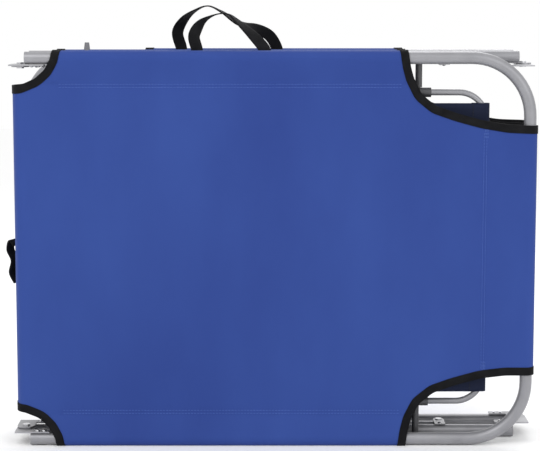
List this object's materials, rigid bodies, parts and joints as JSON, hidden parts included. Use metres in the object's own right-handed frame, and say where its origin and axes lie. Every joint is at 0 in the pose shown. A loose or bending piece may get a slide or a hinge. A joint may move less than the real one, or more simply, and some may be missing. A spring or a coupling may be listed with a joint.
{
  "type": "folding beach lounger",
  "caption": "Three-section folding beach lounger with tubular steel frame, stretched cloth, swing-out legs, a small sun canopy and carry handles, stored folded.",
  "frame": {"origin": "under the middle of the folded pack, on the surface that its long side edge rests on", "axes": "+X along the folded length, +Y from the head section to the foot section, +Z across the lounger's width"},
  "size_m": [0.7705, 0.13, 0.6413],
  "materials": {
    "cloth": "woven polyester",
    "canopy_cloth": "woven polyester",
    "webbing": "woven webbing",
    "grey_plastic": "moulded",
    "dark_fitting": "satin",
    "rivet_steel": "polished domes",
    "zinc_plate": "zinc plated",
    "tube_coat": "silver-grey powder coat"
  },
  "bodies": {
    "middle_section": {"middle_rail_lower": "tube_coat", "middle_rail_upper": "tube_coat", "middle_fabric": "cloth", "middle_head_hinge_ears": "zinc_plate", "middle_foot_hinge_ears": "zinc_plate", "head_hinge_pins": "rivet_steel", "foot_hinge_pins": "rivet_steel", "middle_head_ear_rivets": "rivet_steel", "middle_foot_ear_rivets": "rivet_steel", "near_leg_brackets": "zinc_plate", "near_leg_pins": "rivet_steel", "near_leg_rivets": "rivet_steel", "far_leg_brackets": "zinc_plate", "far_leg_pins": "rivet_steel", "far_leg_rivets": "rivet_steel", "rail_peg": "grey_plastic", "closing_strap": "webbing"},
    "head_section": {"head_frame": "tube_coat", "head_fabric": "cloth", "head_hinge_ears": "zinc_plate", "head_ear_rivets": "rivet_steel", "canopy_posts": "dark_fitting", "front_handle": "webbing"},
    "foot_section": {"foot_frame": "tube_coat", "foot_fabric": "cloth", "foot_hinge_ears": "zinc_plate", "foot_ear_rivets": "rivet_steel", "foot_leg_brackets": "zinc_plate", "foot_leg_pins": "rivet_steel", "foot_leg_rivets": "rivet_steel", "rear_handle": "webbing"},
    "canopy": {"canopy_sockets": "dark_fitting", "canopy_hoop": "tube_coat", "canopy_fabric": "canopy_cloth"},
    "near_leg": {"near_leg": "tube_coat"},
    "far_leg": {"far_leg": "tube_coat"},
    "foot_leg": {"foot_leg": "tube_coat"}
  },
  "joints": [
    {"name": "head_recline", "type": "hinge", "parent": "middle_section", "child": "head_section", "pos_m": [-0.37, -0.031, 0.29], "axis": [0, 0, -1], "range_deg": [0, 180]},
    {"name": "foot_unfold", "type": "hinge", "parent": "middle_section", "child": "foot_section", "pos_m": [0.37, 0.024, 0.29], "axis": [0, 0, -1], "range_deg": [0, 180]},
    {"name": "canopy_swing", "type": "hinge", "parent": "head_section", "child": "canopy", "pos_m": [0.211, -0.031, 0.29], "axis": [0, 0, 1], "range_deg": [0, 90]},
    {"name": "near_leg_swing", "type": "hinge", "parent": "middle_section", "child": "near_leg", "pos_m": [0.25, 0.0135, 0.29], "axis": [0, 0, -1], "range_deg": [0, 90]},
    {"name": "far_leg_swing", "type": "hinge", "parent": "middle_section", "child": "far_leg", "pos_m": [-0.075, 0.0135, 0.29], "axis": [0, 0, -1], "range_deg": [0, 90]},
    {"name": "foot_leg_swing", "type": "hinge", "parent": "foot_section", "child": "foot_leg", "pos_m": [0.02, 0.0345, 0.29], "axis": [0, 0, 1], "range_deg": [0, 90]}
  ],
  "couplings": [
    {"joint": "canopy_swing", "follows": "head_recline", "ratio": 0.5},
    {"joint": "near_leg_swing", "follows": "foot_unfold", "ratio": 0.5},
    {"joint": "far_leg_swing", "follows": "foot_unfold", "ratio": 0.5},
    {"joint": "foot_leg_swing", "follows": "foot_unfold", "ratio": 0.5}
  ]
}
